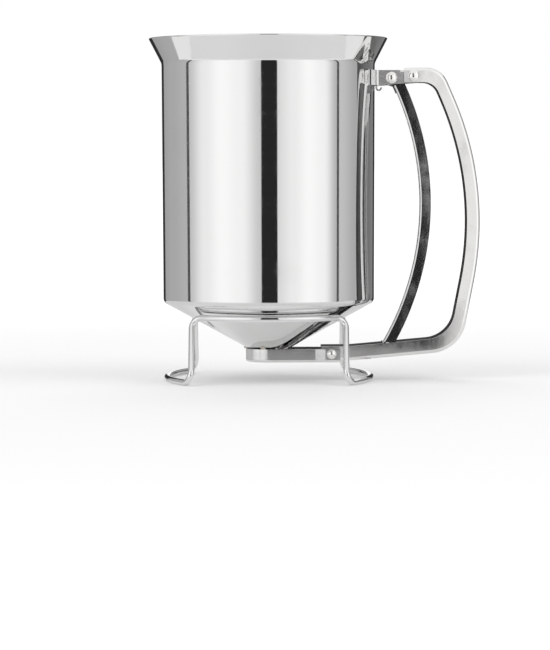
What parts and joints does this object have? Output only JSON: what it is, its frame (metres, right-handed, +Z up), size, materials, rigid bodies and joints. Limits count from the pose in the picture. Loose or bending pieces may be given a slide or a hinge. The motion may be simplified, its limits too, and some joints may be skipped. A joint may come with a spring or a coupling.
{
  "type": "pancake batter dispenser",
  "caption": "Flared steel batter cup with a cone and sliding spout gate, worked by a trigger inside a channel handle, resting in a bent wire stand.",
  "frame": {"origin": "centre of the outlet hole, on the underside of the valve pan", "axes": "+Z up along the cup's axis, +X from the cup towards the handle"},
  "size_m": [0.1578, 0.114, 0.1633],
  "materials": {
    "polished_steel": "mirror polished stainless steel",
    "satin_steel": "satin stainless steel",
    "rivet_steel": "polished rivet",
    "weld_steel": "plain weld",
    "spring_wire": "drawn spring wire",
    "chrome_wire": "bright drawn wire"
  },
  "bodies": {
    "stand": {"stand_wire": "chrome_wire", "stand_weld": "weld_steel"},
    "dispenser": {"cup_body": "polished_steel", "spout_tube": "polished_steel", "spout_weld": "weld_steel", "valve_pan": "polished_steel", "pan_tack_welds": "weld_steel", "handle_grip": "satin_steel", "handle_top_rivets": "rivet_steel", "handle_bottom_rivets": "rivet_steel", "top_bracket": "polished_steel", "bracket_spot_welds": "weld_steel", "trigger_pivot_rivet": "rivet_steel", "pivot_washers": "rivet_steel", "pivot_sleeve": "rivet_steel", "return_spring": "spring_wire"},
    "trigger": {"trigger_lever": "polished_steel", "link_pin": "rivet_steel"},
    "gate": {"gate_slide": "satin_steel"}
  },
  "joints": [
    {"name": "lift_from_stand", "type": "slide", "parent": "stand", "child": "dispenser", "axis": [0, 0, 1], "range_m": [0, 0.07]},
    {"name": "trigger_squeeze", "type": "hinge", "parent": "dispenser", "child": "trigger", "pos_m": [0.0587, 0, 0.13564], "axis": [0, -1, 0], "range_deg": [0, 6.27], "stiffness_Nm_per_rad": 1.2, "springref_deg": -20.05, "deforming": ["return_spring"]},
    {"name": "gate_travel", "type": "slide", "parent": "dispenser", "child": "gate", "axis": [1, 0, 0], "range_m": [0, 0.014]}
  ],
  "couplings": [
    {"joint": "gate_travel", "follows": "trigger_squeeze", "m_per_rad": 0.1277}
  ]
}
